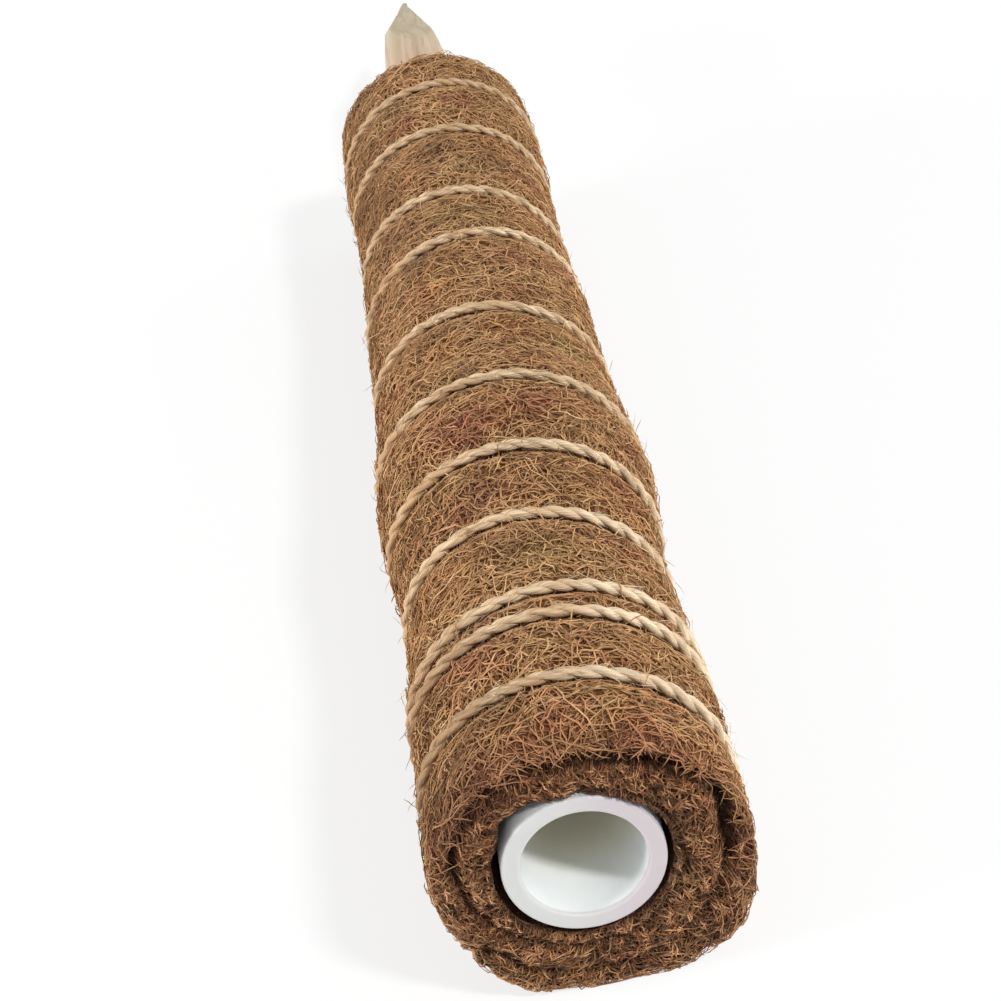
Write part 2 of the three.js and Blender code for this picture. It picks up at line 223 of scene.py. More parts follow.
class Wire:
    """A socket of a node tree that takes part in Python expressions."""

    def __init__(self, board, socket):
        self.board = board
        self.socket = socket

    def math(self, operation, *others):
        values = dict(enumerate((self, *others)))
        return self.board.add("ShaderNodeMath", {"operation": operation}, values)["Value"]

    def __add__(self, other):
        return self.math("ADD", other)

    def __sub__(self, other):
        return self.math("SUBTRACT", other)

    def __rsub__(self, other):
        return (self * -1) + other

    def __mul__(self, other):
        return self.math("MULTIPLY", other)

    def __truediv__(self, other):
        return self.math("DIVIDE", other)

    def __pow__(self, other):
        return self.math("POWER", other)

    __radd__ = __add__
    __rmul__ = __mul__

    def held(self, low, high):
        return self.math("MAXIMUM", low).math("MINIMUM", high)

    def eased(self, start, end):
        """0 before start, 1 after end and a smooth rise between them."""
        ease = {"Value": self, "From Min": start, "From Max": end}
        kind = {"interpolation_type": "SMOOTHSTEP"}
        return self.board.add("ShaderNodeMapRange", kind, ease)["Result"]

    def vector(self, operation, *others):
        values = dict(enumerate((self, *others)))
        made = self.board.add("ShaderNodeVectorMath", {"operation": operation}, values)
        return made["Value" if operation in ("LENGTH", "DOT_PRODUCT") else "Vector"]

    def moved(self, by):
        return self.vector("ADD", by)

    def scaled(self, by):
        return self.vector("MULTIPLY", by)

    def thrice(self):
        """The value as all three parts of a vector."""
        return self.board.xyz(self, self, self)

    def parts(self):
        made = self.board.add("ShaderNodeSeparateXYZ", {}, {"Vector": self})
        return made["X"], made["Y"], made["Z"]


class Board:
    """A node tree that nodes are added to."""

    def __init__(self, tree):
        self.tree = tree

    def add(self, kind, settings=None, sockets=None):
        """Adds a node, its settings first, and gives its outputs by name."""
        node = self.tree.nodes.new(kind)
        for name, value in (settings or {}).items():
            setattr(node, name, value)
        for key, value in (sockets or {}).items():
            socket = node.inputs[key] if isinstance(key, int) else self.pick(node.inputs, key)
            if isinstance(value, Wire):
                self.tree.links.new(value.socket, socket)
            else:
                socket.default_value = value
        return {s.name: Wire(self, s) for s in reversed(node.outputs) if s.enabled}

    @staticmethod
    def pick(sockets, name):
        return next(s for s in sockets if s.enabled and s.name == name)

    def xyz(self, x=0.0, y=0.0, z=0.0):
        return self.add("ShaderNodeCombineXYZ", {}, {"X": x, "Y": y, "Z": z})["Vector"]

    def value(self, number):
        return self.xyz(number).parts()[0]

    def attribute(self, title):
        return self.add("ShaderNodeAttribute", {"attribute_name": title})["Fac"]

    def noise(self, place, scale, detail=2.0, roughness=0.5):
        values = {"Vector": place, "Scale": scale, "Detail": detail, "Roughness": roughness}
        return self.add("ShaderNodeTexNoise", {}, values)

    def mix(self, factor, one, other):
        values = {"Factor": factor, "A": one, "B": other}
        return self.add("ShaderNodeMix", {"data_type": "RGBA"}, values)["Result"]


# The roll's own shape


def smooth(value):
    held = np.clip(value, 0, 1)
    return held * held * (3 - 2 * held)


def from_table(rows, place):
    places, values = np.array(rows, float).T
    row = np.clip(np.searchsorted(places, place) - 1, 0, len(places) - 2)
    blend = smooth((place - places[row]) / (places[row + 1] - places[row]))
    return values[row] + (values[row + 1] - values[row]) * blend


def winding_y(turn):
    rows = np.array(TURN_SHARES)
    first = np.clip(np.floor(turn).astype(int), 0, len(rows) - 2)
    start, end = rows[first], rows[first + 1]
    blend = smooth((turn - first - ADVANCE_START_SHARE) / (1 - 2 * ADVANCE_START_SHARE))
    middle, lean = np.moveaxis(start + (end - start) * blend[..., None], -1, 0)
    side = np.sin(-turn * TURN)
    return MAT_START + middle * MAT_LENGTH + lean * side * TWINE_DIAMETER


def from_twine(y, angle):
    """How far along the pole a place on the roll is from the nearest turn of the twine."""
    part = np.mod(-angle / TURN, 1)
    nearest = np.full(np.shape(y), np.inf)
    for loop in range(-1, len(TURN_SHARES)):
        turn = loop + part
        away = np.abs(winding_y(turn) - y)
        wound = (turn >= FIRST_TURN) & (turn <= LAST_TURN)
        nearest = np.where(wound, np.minimum(nearest, away), nearest)
    return nearest


def roll_radius(y, angle):
    swell = from_table(SWELL_SHARES, (y - MAT_START) / MAT_LENGTH)
    crown = 1 - (1 - CROWN_SHARE) * np.maximum(np.cos(angle), 0) ** 2
    sagged = 1 - smooth((y - MAT_START) / SAG_REACH)
    sag = 1 + (from_table(SAG_SHARES, np.mod(angle / TURN, 1)) - 1) * sagged
    bite = TWINE_BITE * np.exp(-((from_twine(y, angle) / BITE_REACH) ** 2))
    return MAT_RADIUS * swell * crown * sag - bite


def on_roll(angle, y, radius):
    """Points at an angle from the top towards +X, pressed flat on the table."""
    x = radius * np.sin(angle)
    z = np.maximum(radius * np.cos(angle) + AXIS_Z, SEAT_GAP)
    return np.stack(np.broadcast_arrays(x, y, z), -1)


def bumps(points, size, seed):
    """Smooth noise between -1 and 1 whose lumps are about the given size."""
    shift = Vector((seed * 7.3, seed * 3.1, seed * 5.7))
    flat = points.reshape(-1, 3)
    values = [noise.noise(Vector(point) / size + shift) for point in flat]
    return np.array(values).reshape(points.shape[:-1])


# Making pieces


def show(name, mesh, material, body, slot, *replaced):
    """Makes a piece of a mesh, puts it on a body and hides the parts of the model that it takes
    the place of.
    """
    piece = bpy.data.objects.new(name, mesh)
    bpy.context.scene.collection.objects.link(piece)
    mesh.materials.clear()
    mesh.materials.append(material)
    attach(piece, body)
    for node in replaced:
        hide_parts(node)


def faced_mesh(name, points, faces):
    mesh = bpy.data.meshes.new(name)
    mesh.from_pydata(points, [], faces)
    mesh.polygons.foreach_set("use_smooth", [True] * len(mesh.polygons))
    mesh.update()
    return mesh


def grid_mesh(name, rows):
    """A skin over rows of points, closed round each row and from the last row to the first."""
    count, sides = rows.shape[:2]
    one = np.arange(count)[:, None] * sides + np.arange(sides)
    other = np.roll(one, -1, 0)
    faces = np.stack([one, np.roll(one, -1, 1), np.roll(other, -1, 1), other], -1)
    return faced_mesh(name, rows.reshape(-1, 3).tolist(), faces.reshape(-1, 4).tolist())


def seam_groove(angle, radius):
    """How deep the seam between the layers is at places on an end face, and how far it is."""
    turns = (SEAM_END_RADIUS - TUBE_RADIUS - 1.3 * MM) / LAYER_PITCH
    part = np.mod(angle / TURN, 1)
    depth = np.zeros(np.shape(radius))
    nearest = np.full(np.shape(radius), np.inf)
    for loop in range(-3, 2):
        at = loop + part
        seam = SEAM_END_RADIUS - LAYER_PITCH * (SEAM_END_TURNS - at)
        seam = seam + from_table(SEAM_STRAY, at) * MM
        on_seam = (at <= SEAM_END_TURNS) & (at >= SEAM_END_TURNS - turns)
        away = np.where(on_seam, np.abs(radius - seam), np.inf)
        groove = from_table(SEAM_OPEN, at) * SEAM_DEPTH * np.exp(-((away / SEAM_WIDTH) ** 2))
        depth = np.maximum(depth, groove)
        nearest = np.minimum(nearest, away / np.maximum(from_table(SEAM_OPEN, at), 0.3))
    return depth, nearest


def end_face(near, rim):
    """Rings of points from the rim of the roll in to the tube and down beside it."""
    out, y_end = (-1, MAT_START) if near else (1, MAT_END)
    ring = np.stack([np.sin(SIDE_ANGLES), 0 * SIDE_ANGLES, np.cos(SIDE_ANGLES)], -1)
    axis = np.array([AXIS_X, y_end, AXIS_Z])
    gap = (from_table(GAP_WIDTHS, SIDE_ANGLES / TURN) if near else FAR_GAP) * MM
    around = axis + ring * TUBE_RADIUS
    mouth = TUBE_RADIUS + gap + bumps(around, 3 * MM, 4) * 0.3 * MM
    share = (np.arange(1, FACE_RINGS + 1) / FACE_RINGS)[:, None, None]
    flat = rim + (axis + ring * mouth[:, None] - rim) * share
    across = flat - axis
    radius = np.hypot(across[..., 0], across[..., 2])
    angle = np.arctan2(across[..., 0], across[..., 2])
    ragged = bumps(flat, 4 * MM, 1) * 0.5 * MM
    grain = bumps(flat, 1.8 * MM, 2) * 0.55 * MM + bumps(flat, 5 * MM, 3) * 0.6 * MM
    seam, away = seam_groove(angle, radius + ragged)
    top = np.maximum(np.cos(angle), 0) if near else 0 * angle
    edge = (0.5 + 3.5 * top) * MM * (1 - smooth(share[..., 0] * (4 - 1.6 * top)))
    forward = (from_table(FACE_FORWARD, SIDE_ANGLES / TURN) if near else 0) * MM
    inward = 0.5 * MM - forward * smooth(share[..., 0] * 1.6 - 0.6)
    flat[..., 1] = y_end - out * (np.maximum(seam, edge) + inward + grain)
    # Low lift in the seams and at the mouth also paints shade on the felt there
    lift = np.clip(away / (1.4 * MM) - 0.35, 0.1, 1) * np.clip((radius - mouth) / MM, 0.1, 1)
    under = np.clip(0.4 - np.cos(angle), 0, 1) * (1 - smooth(share[..., 0] * 4))
    lift = lift * (1 - 0.5 * under)
    wall = []
    for depth in GAP_DEPTHS:
        narrow = BORE_CLEARANCE + (mouth - TUBE_RADIUS - BORE_CLEARANCE) * (
            1 - smooth(depth / GAP_DEPTHS[-1])
        )
        row = axis + ring * (TUBE_RADIUS + narrow)[:, None]
        row[:, 1] = flat[-1, :, 1] - out * depth
        wall.append(row)
    rows = np.concatenate([flat, wall])
    # The gap's walls get no lift, which paints them in deep shade
    lifts = np.concatenate([lift, np.zeros((len(wall), SKIN_SIDES))])
    return rows, lifts, np.broadcast_to(mouth, (len(rows), SKIN_SIDES))


def make_skin():
    """The felt of the roll: its outside, its two end faces and the bore round the tube."""
    y = np.linspace(MAT_START + 0.8 * MM, MAT_END - 0.8 * MM, SKIN_ROWS)[:, None]
    angle = SIDE_ANGLES[None, :]
    y_all, angle_all = np.broadcast_arrays(y, angle)
    away = from_twine(y_all, angle_all)
    radius = roll_radius(y_all, angle_all) - FELT_DEPTH
    radius = radius + FAR_FULLNESS * smooth((y_all - MAT_END) / END_REACH + 1)
    near_end = 1 - smooth((y_all - MAT_START) / END_REACH)
    radius = radius + from_table(FULLNESS, angle_all / TURN) * near_end * MM
    radius = radius - GROOVE_DEPTH * np.exp(-((away / GROOVE_WIDTH) ** 2))
    top = np.maximum(np.cos(angle_all), 0) * (y_all < 0)
    from_end = np.minimum(y_all - MAT_START, MAT_END - y_all)
    rounding = (0.4 + 1.9 * top) * MM * (1 - smooth(from_end / ((2 + 4 * top) * MM)))
    bare = on_roll(angle, y, radius - rounding)
    wavy = bumps(bare, 9 * MM, 5) * 0.45 * MM + bumps(bare, 2.5 * MM, 6) * 0.3 * MM
    edge_angle = SEAM_END_TURNS * TURN + bumps(bare, 30 * MM, 7) * 0.04
    off_edge = (np.mod(angle_all - edge_angle + math.pi, TURN) - math.pi) * MAT_RADIUS
    wavy = wavy - EDGE_DEPTH * np.exp(-((off_edge / EDGE_WIDTH) ** 2))
    calm = np.clip(away / (3 * MM), 0.2, 1)
    outside = on_roll(angle, y, radius - rounding + wavy * calm)
    # Low lift beside the twine also paints a contact shadow on the felt there
    lift = 0.12 + 0.88 * smooth((away - 0.9 * MM) / (3 * MM))
    lift = lift * (1 - 0.5 * near_end * np.clip(0.4 - np.cos(angle_all), 0, 1))
    near, near_lift, near_mouth = end_face(True, outside[0])
    far, far_lift, far_mouth = end_face(False, outside[-1])
    mesh = grid_mesh("coir_felt", np.concatenate([near[::-1], outside, far]))
    for title, values in (
        ("lift", (near_lift[::-1], lift, far_lift)),
        ("mouth", (near_mouth[::-1], np.zeros_like(lift), far_mouth)),
    ):
        attribute = mesh.attributes.new(title, "FLOAT", "POINT")
        attribute.data.foreach_set("value", np.concatenate(values).ravel())
    return mesh


# Fibres


class Growth(Board):
    """A Geometry Nodes tree that grows fibres on the felt."""

    def __init__(self, name, inputs):
        super().__init__(bpy.data.node_groups.new(name, "GeometryNodeTree"))
        self.ids = {}
        kinds = {int: "NodeSocketInt", float: "NodeSocketFloat", bool: "NodeSocketBool"}
        new_socket = self.tree.interface.new_socket
        for way in ("INPUT", "OUTPUT"):
            new_socket("Geometry", in_out=way, socket_type="NodeSocketGeometry")
        for title, value in inputs.items():
            made = new_socket(title, in_out="INPUT", socket_type=kinds[type(value)])
            self.ids[title] = made.identifier
        self.given = self.add("NodeGroupInput")

    def chance(self, low, high, seed):
        """A random value for each point, between two values."""
        values = {"Min": low, "Max": high, "Seed": self.given["Seed"] + seed}
        return self.add("FunctionNodeRandomValue", {"data_type": "FLOAT"}, values)["Value"]

    def keep(self, geometry, title, value, kind="FLOAT"):
        values = {"Geometry": geometry, "Name": title, "Value": value}
        settings = {"data_type": kind, "domain": "POINT"}
        return self.add("GeometryNodeStoreNamedAttribute", settings, values)["Geometry"]

    def kept(self, title, kind="FLOAT"):
        made = self.add("GeometryNodeInputNamedAttribute", {"data_type": kind}, {"Name": title})
        return made["Attribute"]

    def place(self):
        return self.add("GeometryNodeInputPosition")["Position"]

    def along(self):
        """How far along its curve a point is, from 0 to 1."""
        return self.add("GeometryNodeSplineParameter")["Factor"]

    def put(self, geometry, **where):
        """Moves points to a Position or by an Offset."""
        values = {"Geometry": geometry, **where}
        return self.add("GeometryNodeSetPosition", {}, values)["Geometry"]

    def lines(self, points, start, end, turn, size):
        """A line on each of the points, with the tree's number of steps."""
        line = self.add("GeometryNodeCurvePrimitiveLine", {}, {"Start": start, "End": end})
        line = self.add("GeometryNodeResampleCurve", {}, {
            "Curve": line["Curve"], "Count": self.given["Steps"],
        })
        made = self.add("GeometryNodeInstanceOnPoints", {}, {
            "Points": points, "Instance": line["Curve"], "Rotation": turn, "Scale": size.thrice(),
        })["Instances"]
        return self.add("GeometryNodeRealizeInstances", {}, {"Geometry": made})["Geometry"]

    def circle(self, sides, radius):
        values = {"Resolution": sides, "Radius": radius}
        return self.add("GeometryNodeCurvePrimitiveCircle", {"mode": "RADIUS"}, values)["Curve"]

    def skin(self, curve, section, scale):
        """A closed skin round a curve."""
        values = {"Curve": curve, "Profile Curve": section, "Scale": scale, "Fill Caps": True}
        return self.add("GeometryNodeCurveToMesh", {}, values)["Mesh"]

    def outward(self, angle):
        """The way out of the roll at an angle from its top."""
        return self.xyz(angle.math("SINE"), 0.0, angle.math("COSINE"))

    def curl(self):
        """Which way each point of a fibre bends, the parts between -0.5 and 0.5."""
        own = self.kept("own")
        seen = self.place().vector("DIVIDE", self.given["Curl Size"].thrice())
        seen = seen.moved(self.xyz(own, own * 1.7, own * 2.3))
        return self.noise(seen, 1.0, 1.0)["Color"].moved((-0.5, -0.5, -0.5))

    def finish(self, geometry, material):
        real = self.add("GeometryNodeRealizeInstances", {}, {"Geometry": geometry})["Geometry"]
        last = self.add("GeometryNodeSetMaterial", {}, {"Geometry": real, "Material": material})
        self.add("NodeGroupOutput", {}, {"Geometry": last["Geometry"]})


STRAND_INPUTS = {
    "Seed": 0, "Steps": 0, "Least Length": 0.0, "Most Length": 0.0, "Thickness": 0.0,
    "Curl": 0.0, "Curl Size": 0.0,
}
FIBRE_INPUTS = {
    **STRAND_INPUTS, "Count": 0, "Height": 0.0, "Dive": 0.0, "Arch": 0.0, "Rise": 0.0,
    "Overhang": 0.0,
}
HAIR_INPUTS = {**STRAND_INPUTS, "Density": 0.0, "Lean": 0.0}
TWINE_INPUTS = {
    "Points": 0, "Ply Radius": 0.0, "Ply Offset": 0.0, "Twist Length": 0.0, "Unevenness": 0.0,
}


def flat_fibres(growth, low, high):
    """Curves scattered over a flat field: lines of random length, turned and curled."""
    given = growth.given
    place = growth.xyz(growth.chance(low[0], high[0], 1), growth.chance(low[1], high[1], 2))
    points = growth.add("GeometryNodePoints", {}, {"Count": given["Count"], "Position": place})
    points = growth.keep(points["Points"], "tone", growth.chance(0.0, 1.0, 3))
    points = growth.keep(points, "lie", growth.chance(0.0, 1.0, 4))
    points = growth.keep(points, "own", growth.chance(0.0, 100.0, 5))
    heading = growth.xyz(z=growth.chance(-math.pi / 2, math.pi / 2, 6))
    size = growth.chance(given["Least Length"], given["Most Length"], 7)
    lines = growth.lines(points, (-0.5, 0, 0), (0.5, 0, 0), heading, size)
    bend = growth.curl().scaled(growth.xyz(given["Curl"] * 2, given["Curl"] * 2))
    return growth.put(lines, Offset=bend)


def rise_of(growth, seen, lift):
    """Height of a fibre over the felt at a point of it: most of them dive in and out of it."""
    given = growth.given
    along = growth.along()
    lie = growth.kept("lie")
    weave = growth.noise(seen.moved(growth.kept("own").thrice()), 0.34 / MM, 0.0)["Fac"]
    height = given["Height"] * (lie * lie * 0.55 + (weave - given["Dive"]) * 1.5) * lift
    hump = along * (1 - along) * 4
    return height + given["Arch"] * hump * (lie ** 3) + given["Rise"] * (along ** 3) * lie


def tubes(growth, curves):
    """Closed three-sided tubes along curves, thinner towards their ends."""
    along = growth.along()
    taper = ((along * (1 - along) * 4) ** 0.35) * 0.75 + 0.25
    scale = taper * (growth.kept("tone") * 0.5 + 0.75)
    return growth.skin(curves, growth.circle(3, growth.given["Thickness"] / 2), scale)


def ray(growth, source, way, length, title="lift"):
    """Where a ray meets the felt, and one of the felt's own values there."""
    values = {
        "Target Geometry": growth.given["Geometry"], "Attribute": growth.kept(title),
        "Source Position": source, "Ray Direction": way, "Ray Length": length,
    }
    made = growth.add("GeometryNodeRaycast", {"data_type": "FLOAT"}, values)
    return made["Hit Position"], made["Attribute"]


def round_tree(material):
    """Fibres that lie round the roll: across the field is round it, up the field along it."""
    growth = Growth("fibres_round_the_roll", FIBRE_INPUTS)
    reach = MAT_RADIUS * math.pi
    low, high = (-reach, MAT_START - 2 * MM), (reach, MAT_END + 2 * MM)
    curves = flat_fibres(growth, low, high)
    at = growth.place()
    across, y, _ = at.parts()
    angle = across / MAT_RADIUS
    way = growth.outward(angle)
    inside = y.held(MAT_START + 1.2 * MM, MAT_END - 1.2 * MM)
    source = way.scaled((ROUND_RAY,) * 3).moved((0, 0, AXIS_Z)).moved(growth.xyz(0.0, inside))
    hit, lift = ray(growth, source, way.scaled((-1, -1, -1)), ROUND_RAY)
    way_x, _, way_z = way.parts()
    out = growth.given["Overhang"] * growth.kept("lie") * way_z.eased(-0.3, 0.4)
    held = y.math("MAXIMUM", MAT_START - out).math("MINIMUM", out + MAT_END)
    past = (y - held).math("ABSOLUTE").math("MINIMUM", 6 * MM)
    height = rise_of(growth, at, lift) - past * 0.8
    hit_x, _, hit_z = hit.parts()
    z = (hit_z + way_z * height).math("MAXIMUM", LEAST_HEIGHT)
    moved = growth.put(curves, Position=growth.xyz(hit_x + way_x * height, held, z))
    growth.finish(tubes(growth, moved), material)
    return growth


def end_tree(material):
    """Fibres on an end face: across the field is round the face, up the field outwards."""
    growth = Growth("fibres_on_an_end", {**FIBRE_INPUTS, "Far End": False})
    middle = (MAT_RADIUS + TUBE_RADIUS) / 2
    depth = MAT_RADIUS - TUBE_RADIUS
    low, high = (-middle * math.pi, 0.0), (middle * math.pi, depth)
    curves = flat_fibres(growth, low, high)
    at = growth.place()
    across, up, _ = at.parts()
    angle = across / middle
    way = growth.outward(angle)
    end = growth.given["Far End"] * 2 - 1
    y_end = growth.given["Far End"] * MAT_LENGTH + MAT_START
    axis = growth.xyz(AXIS_X, y_end - end * 3 * MM, AXIS_Z)
    beyond = growth.xyz(AXIS_X, y_end + end * END_RAY_START, AXIS_Z)
    source = way.scaled((ROUND_RAY,) * 3).moved(axis)
    rim, _ = ray(growth, source, way.scaled((-1, -1, -1)), ROUND_RAY)
    back = growth.xyz(0.0, end * -1)
    _, mouth = ray(growth, way.scaled((middle,) * 3).moved(beyond), back, END_RAY, "mouth")
    wide = rim.vector("SUBTRACT", axis).vector("LENGTH") - mouth - 0.4 * MM
    radius = (up / depth).held(0, 1) * wide + mouth
    hit, lift = ray(growth, way.scaled(radius.thrice()).moved(beyond), back, END_RAY)
    place = hit.moved(growth.xyz(0.0, end * rise_of(growth, at, lift)))
    # Painted shade for the fibres that lie low in the seams and by the mouth
    curves = growth.keep(curves, "sunk_shade", 1 - lift)
    moved = growth.put(curves, Position=place.vector("MAXIMUM", ABOVE_TABLE))
    growth.finish(tubes(growth, moved), material)
    return growth


def joined(name, felt, twine):
    """The felt and the twine as one mesh, for what lies over both of them."""
    points, faces, lifts = [], [], np.zeros(len(felt.vertices) + len(twine.vertices))
    felt.attributes["lift"].data.foreach_get("value", lifts[:len(felt.vertices)])
    for mesh in (felt, twine):
        first = len(points)
        points += [vertex.co[:] for vertex in mesh.vertices]
        faces += [[first + corner for corner in face.vertices] for face in mesh.polygons]
    mesh = bpy.data.meshes.new(name)
    mesh.from_pydata(points, [], faces)
    mesh.attributes.new("lift", "FLOAT", "POINT").data.foreach_set("value", lifts)
    return mesh


def grown(name, growth, host, **inputs):
    """Runs a tree on a mesh and gives the plain mesh that it makes."""
    maker = bpy.data.objects.new(name + "_maker", host)
    bpy.context.scene.collection.objects.link(maker)
    modifier = maker.modifiers.new("grow", "NODES")
    modifier.node_group = growth.tree
    for title, value in inputs.items():
        modifier[growth.ids[title.replace("_", " ")]] = value
    graph = bpy.context.evaluated_depsgraph_get()
    mesh = bpy.data.meshes.new_from_object(maker.evaluated_get(graph), depsgraph=graph)
    bpy.data.objects.remove(maker)
    mesh.name = name
    return mesh


def show_fibres(name, growth, host, material, **inputs):
    mesh = grown(name, growth, host, **inputs)
    show(name, mesh, material, "pole", "coir", "coir_mat")


# Twine


def twine_path():
    """Points of the twine's middle line and the outward side at each of them."""
    first, last = round(FIRST_TURN * LOOP_STEPS), round(LAST_TURN * LOOP_STEPS)
    turn = np.arange(first, last + 1) / LOOP_STEPS
    angle = -turn * TURN
    y = winding_y(turn)
    radius = roll_radius(y, angle) - TWINE_SINK
    down = -np.cos(angle)
    floor = AXIS_Z - TWINE_CLEAR_RADIUS
    radius = np.where(down * radius > floor, floor / np.maximum(down, 0.1), radius)
    normal = np.stack([np.sin(angle), 0 * angle, np.cos(angle)], -1)
    points = normal * radius[:, None] + np.stack([0 * y, y, 0 * y + AXIS_Z], -1)
    points, normal = list(points), list(normal)
    for end, beside, reverse in ((0, 1, True), (-1, -2, False)):
        tangent = points[end] - points[beside]
        tangent -= normal[end] * tangent.dot(normal[end])
        tangent /= np.linalg.norm(tangent)
        centre = points[end] - normal[end] * TWINE_DIAMETER
        outward, tuck = normal[end], []
        for bend in (1 / 3, 2 / 3, 1):
            lean = bend * math.pi / 2
            side = outward * math.cos(lean) + tangent * math.sin(lean)
            tuck.append((centre + side * TWINE_DIAMETER, side))
        tuck.append((tuck[-1][0] - outward * TWINE_DIAMETER, tangent))
        for point, side in tuck:
            index = 0 if reverse else len(points)
            points.insert(index, point)
            normal.insert(index, side)
    return np.array(points), np.array(normal)


def path_mesh(name, points, sides):
    mesh = bpy.data.meshes.new(name)
    edges = [(index, index + 1) for index in range(len(points) - 1)]
    mesh.from_pydata(points.tolist(), edges, [])
    attribute = mesh.attributes.new("side", "FLOAT_VECTOR", "POINT")
    attribute.data.foreach_set("vector", sides.ravel())
    return mesh


def twine_tree(material):
    """Two plies twisted round each other along a path."""
    growth = Growth("twisted_plies", TWINE_INPUTS)
    given = growth.given
    line = growth.add("GeometryNodeMeshToCurve", {}, {"Mesh": given["Geometry"]})["Curve"]
    kind = {"spline_type": "CATMULL_ROM"}
    line = growth.add("GeometryNodeCurveSplineType", kind, {"Curve": line})["Curve"]
    values = {"Curve": line, "Count": given["Points"]}
    line = growth.add("GeometryNodeResampleCurve", {}, values)["Curve"]
    plies = []
    for ply in range(2):
        run = growth.add("GeometryNodeSplineParameter")["Length"]
        side = growth.kept("side", "FLOAT_VECTOR")
        tangent = growth.add("GeometryNodeInputTangent")["Tangent"]
        across = tangent.vector("CROSS_PRODUCT", side).vector("NORMALIZE")
        up = across.vector("CROSS_PRODUCT", tangent)
        slow = growth.noise(growth.xyz(run, 0.5), 0.05 / MM, 1.0)["Fac"]
        angle = (run / given["Twist Length"] + slow * 0.9) * TURN + ply * math.pi
        offset = given["Ply Offset"]
        cosine, sine = angle.math("COSINE") * offset, angle.math("SINE") * offset
        turned = up.scaled(cosine.thrice()).moved(across.scaled(sine.thrice()))
        wander = growth.noise(growth.place(), 0.12 / MM)["Color"].moved((-0.5, -0.5, -0.5))
        wander = wander.scaled(given["Unevenness"].thrice())
        strand = growth.put(line, Offset=turned.moved(wander))
        strand = growth.keep(strand, "along", run)
        strand = growth.keep(strand, "tangent", tangent, "FLOAT_VECTOR")
        section = growth.circle(9, given["Ply Radius"])
        section = growth.keep(section, "around", growth.along())
        thick = growth.noise(growth.xyz(run, float(ply)), 0.11 / MM)["Fac"]
        plies.append(growth.skin(strand, section, thick * 0.5 + 0.78))
    join = growth.tree.nodes.new("GeometryNodeJoinGeometry")
    for ply in plies:
        growth.tree.links.new(ply.socket, join.inputs[0])
    growth.finish(Wire(growth, join.outputs[0]), material)
    return growth


def hair_tree(material):
    """Loose hairs that stand off the plies, most of them swept along the twine."""
    growth = Growth("loose_hairs", HAIR_INPUTS)
    given = growth.given
    spread = growth.add("GeometryNodeDistributePointsOnFaces", {"distribute_method": "RANDOM"}, {
        "Mesh": given["Geometry"], "Density": given["Density"], "Seed": given["Seed"],
    })
    points = growth.keep(spread["Points"], "tone", growth.chance(0.0, 1.0, 3))
    points = growth.keep(points, "own", growth.chance(0.0, 100.0, 5))
    sign = growth.chance(-1.0, 1.0, 6).math("SIGN")
    swept = growth.kept("tangent", "FLOAT_VECTOR").scaled(sign.thrice())
    lean = given["Lean"] * growth.chance(0.2, 1.0, 7)
    way = swept.moved(spread["Normal"].scaled(lean.thrice()))
    turn = growth.add("FunctionNodeAlignRotationToVector", {"axis": "X"}, {"Vector": way})
    size = growth.chance(given["Least Length"], given["Most Length"], 8)
    lines = growth.lines(points, (0, 0, 0), (1, 0, 0), turn["Rotation"], size)
    bend = growth.curl().scaled((given["Curl"] * growth.along() * 2).thrice())
    place = growth.place().moved(bend).vector("MAXIMUM", ABOVE_TABLE)
    growth.finish(tubes(growth, growth.put(lines, Position=place)), material)
    return growth


# Materials


def new_material(name):
    """An empty material, its board and places on the piece that has it."""
    made = bpy.data.materials.new(name)
    made.use_nodes = True
    made.node_tree.nodes.clear()
    board = Board(made.node_tree)
    return made, board, board.add("ShaderNodeTexCoord")["Object"]


def surface(board, sockets):
    shader = board.add("ShaderNodeBsdfPrincipled", {}, sockets)
    board.add("ShaderNodeOutputMaterial", {}, {"Surface": shader["BSDF"]})


def bump(board, height, strength, distance):
    values = {"Height": height, "Strength": strength, "Distance": distance}
    return board.add("ShaderNodeBump", {}, values)["Normal"]


def rgb(red, green, blue):
    """A colour as a screen shows it, made linear."""
    return tuple(((part / 255 + 0.055) / 1.055) ** 2.4 for part in (red, green, blue)) + (1,)


def patches(board, place, places):
    """1 in the middle of each of the places, falling unevenly to 0 around it."""
    stray = board.noise(place, 0.22 / MM, 3.0)["Color"].moved((-0.5, -0.5, -0.5))
    seen = place.moved(stray.scaled((14 * MM,) * 3))
    most = board.value(0.0)
    for turns, y, size in places:
        middle = on_roll(turns * TURN, y * MM, MAT_RADIUS)
        away = seen.vector("SUBTRACT", tuple(middle)).vector("LENGTH")
        most = most.math("MAXIMUM", away.eased(size * MM, size * 0.35 * MM))
    return most


def coir_hues(board, place, color, tone, own=None):
    """Turns parts of the coir more orange, redder or more olive, and paints shade on others, with
    darker coir at a few of them.
    """
    cloud = board.noise(place, 0.06 / MM, 3.0)["Color"]
    clouds = board.add("ShaderNodeSeparateColor", {}, {"Color": cloud})
    for places, channel, low, high, dark, light in (
        (ORANGE_PLACES, "Blue", 0.6, 0.7, rgb(112, 62, 28), rgb(206, 148, 90)),
        (RED_PLACES, "Red", 0.8, 0.9, rgb(94, 42, 30), rgb(190, 122, 92)),
        (OLIVE_PLACES, "Green", 0.25, 0.1, rgb(104, 78, 40), rgb(200, 168, 112)),
    ):
        share = patches(board, place, places) * 0.45 + clouds[channel].eased(0.52, 0.68) * 0.2
        if own is not None:
            share = share + own.eased(low, high) * 0.35
        color = board.mix(share.held(0, 0.9), color, board.mix(tone, dark, light))
    # Painted shade at the listed places, with darker coir at a few of them
    shade = patches(board, place, SHADE_AND_DARK_COIR_PLACES) * 0.5
    return board.mix(shade, color, board.mix(tone, rgb(66, 36, 22), rgb(138, 96, 62)))


